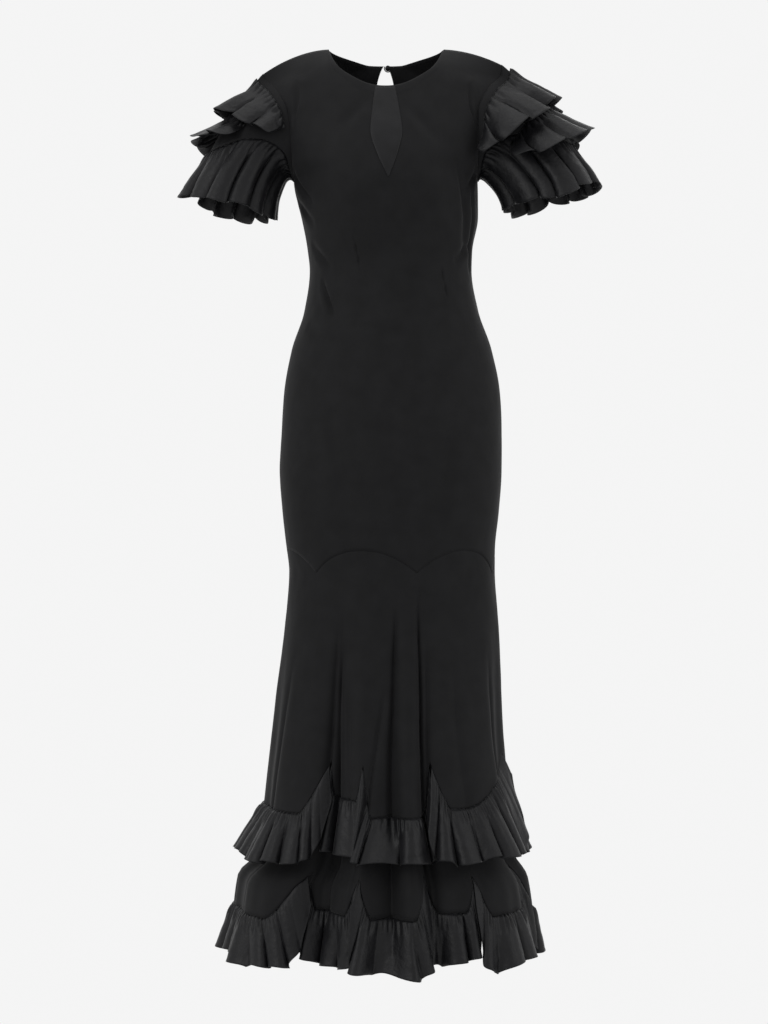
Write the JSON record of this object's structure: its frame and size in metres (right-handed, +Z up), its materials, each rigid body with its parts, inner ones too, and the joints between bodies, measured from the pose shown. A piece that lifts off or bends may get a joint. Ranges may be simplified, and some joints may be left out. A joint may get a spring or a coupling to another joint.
{
  "type": "ruffle taffeta dress",
  "caption": "Long fitted dress in its worn form, with ruffled cap sleeves, a keyhole back and gathered flounces on a petal hem.",
  "frame": {"origin": "on the shoulder line at the middle of the neck, where the dress hangs on its wearer", "axes": "+Z up, -Y towards the front of the dress, +X to the right of a person who looks at the front"},
  "size_m": [0.6261, 0.3973, 1.3527],
  "materials": {
    "crepe": "matte black crepe",
    "taffeta": "black taffeta with a soft sheen"
  },
  "bodies": {
    "root": {"back_body_left": "crepe", "back_body_right": "crepe", "button": "taffeta", "button_loop": "taffeta", "front_body": "crepe", "lower_flounce_1": "taffeta", "lower_flounce_2": "taffeta", "lower_flounce_3": "taffeta", "lower_flounce_4": "taffeta", "lower_flounce_5": "taffeta", "lower_flounce_6": "taffeta", "lower_flounce_7": "taffeta", "lower_flounce_8": "taffeta", "neck_insert": "taffeta", "skirt_back": "crepe", "skirt_front": "crepe", "sleeve_left": "crepe", "sleeve_left_ruffle_1": "taffeta", "sleeve_left_ruffle_2": "taffeta", "sleeve_left_ruffle_3": "taffeta", "sleeve_right": "crepe", "sleeve_right_ruffle_1": "taffeta", "sleeve_right_ruffle_2": "taffeta", "sleeve_right_ruffle_3": "taffeta", "underskirt_back": "crepe", "underskirt_front": "crepe", "upper_flounce_1": "taffeta", "upper_flounce_2": "taffeta", "upper_flounce_3": "taffeta", "upper_flounce_4": "taffeta", "upper_flounce_5": "taffeta", "upper_flounce_6": "taffeta", "upper_flounce_7": "taffeta", "upper_flounce_8": "taffeta"}
  },
  "joints": []
}
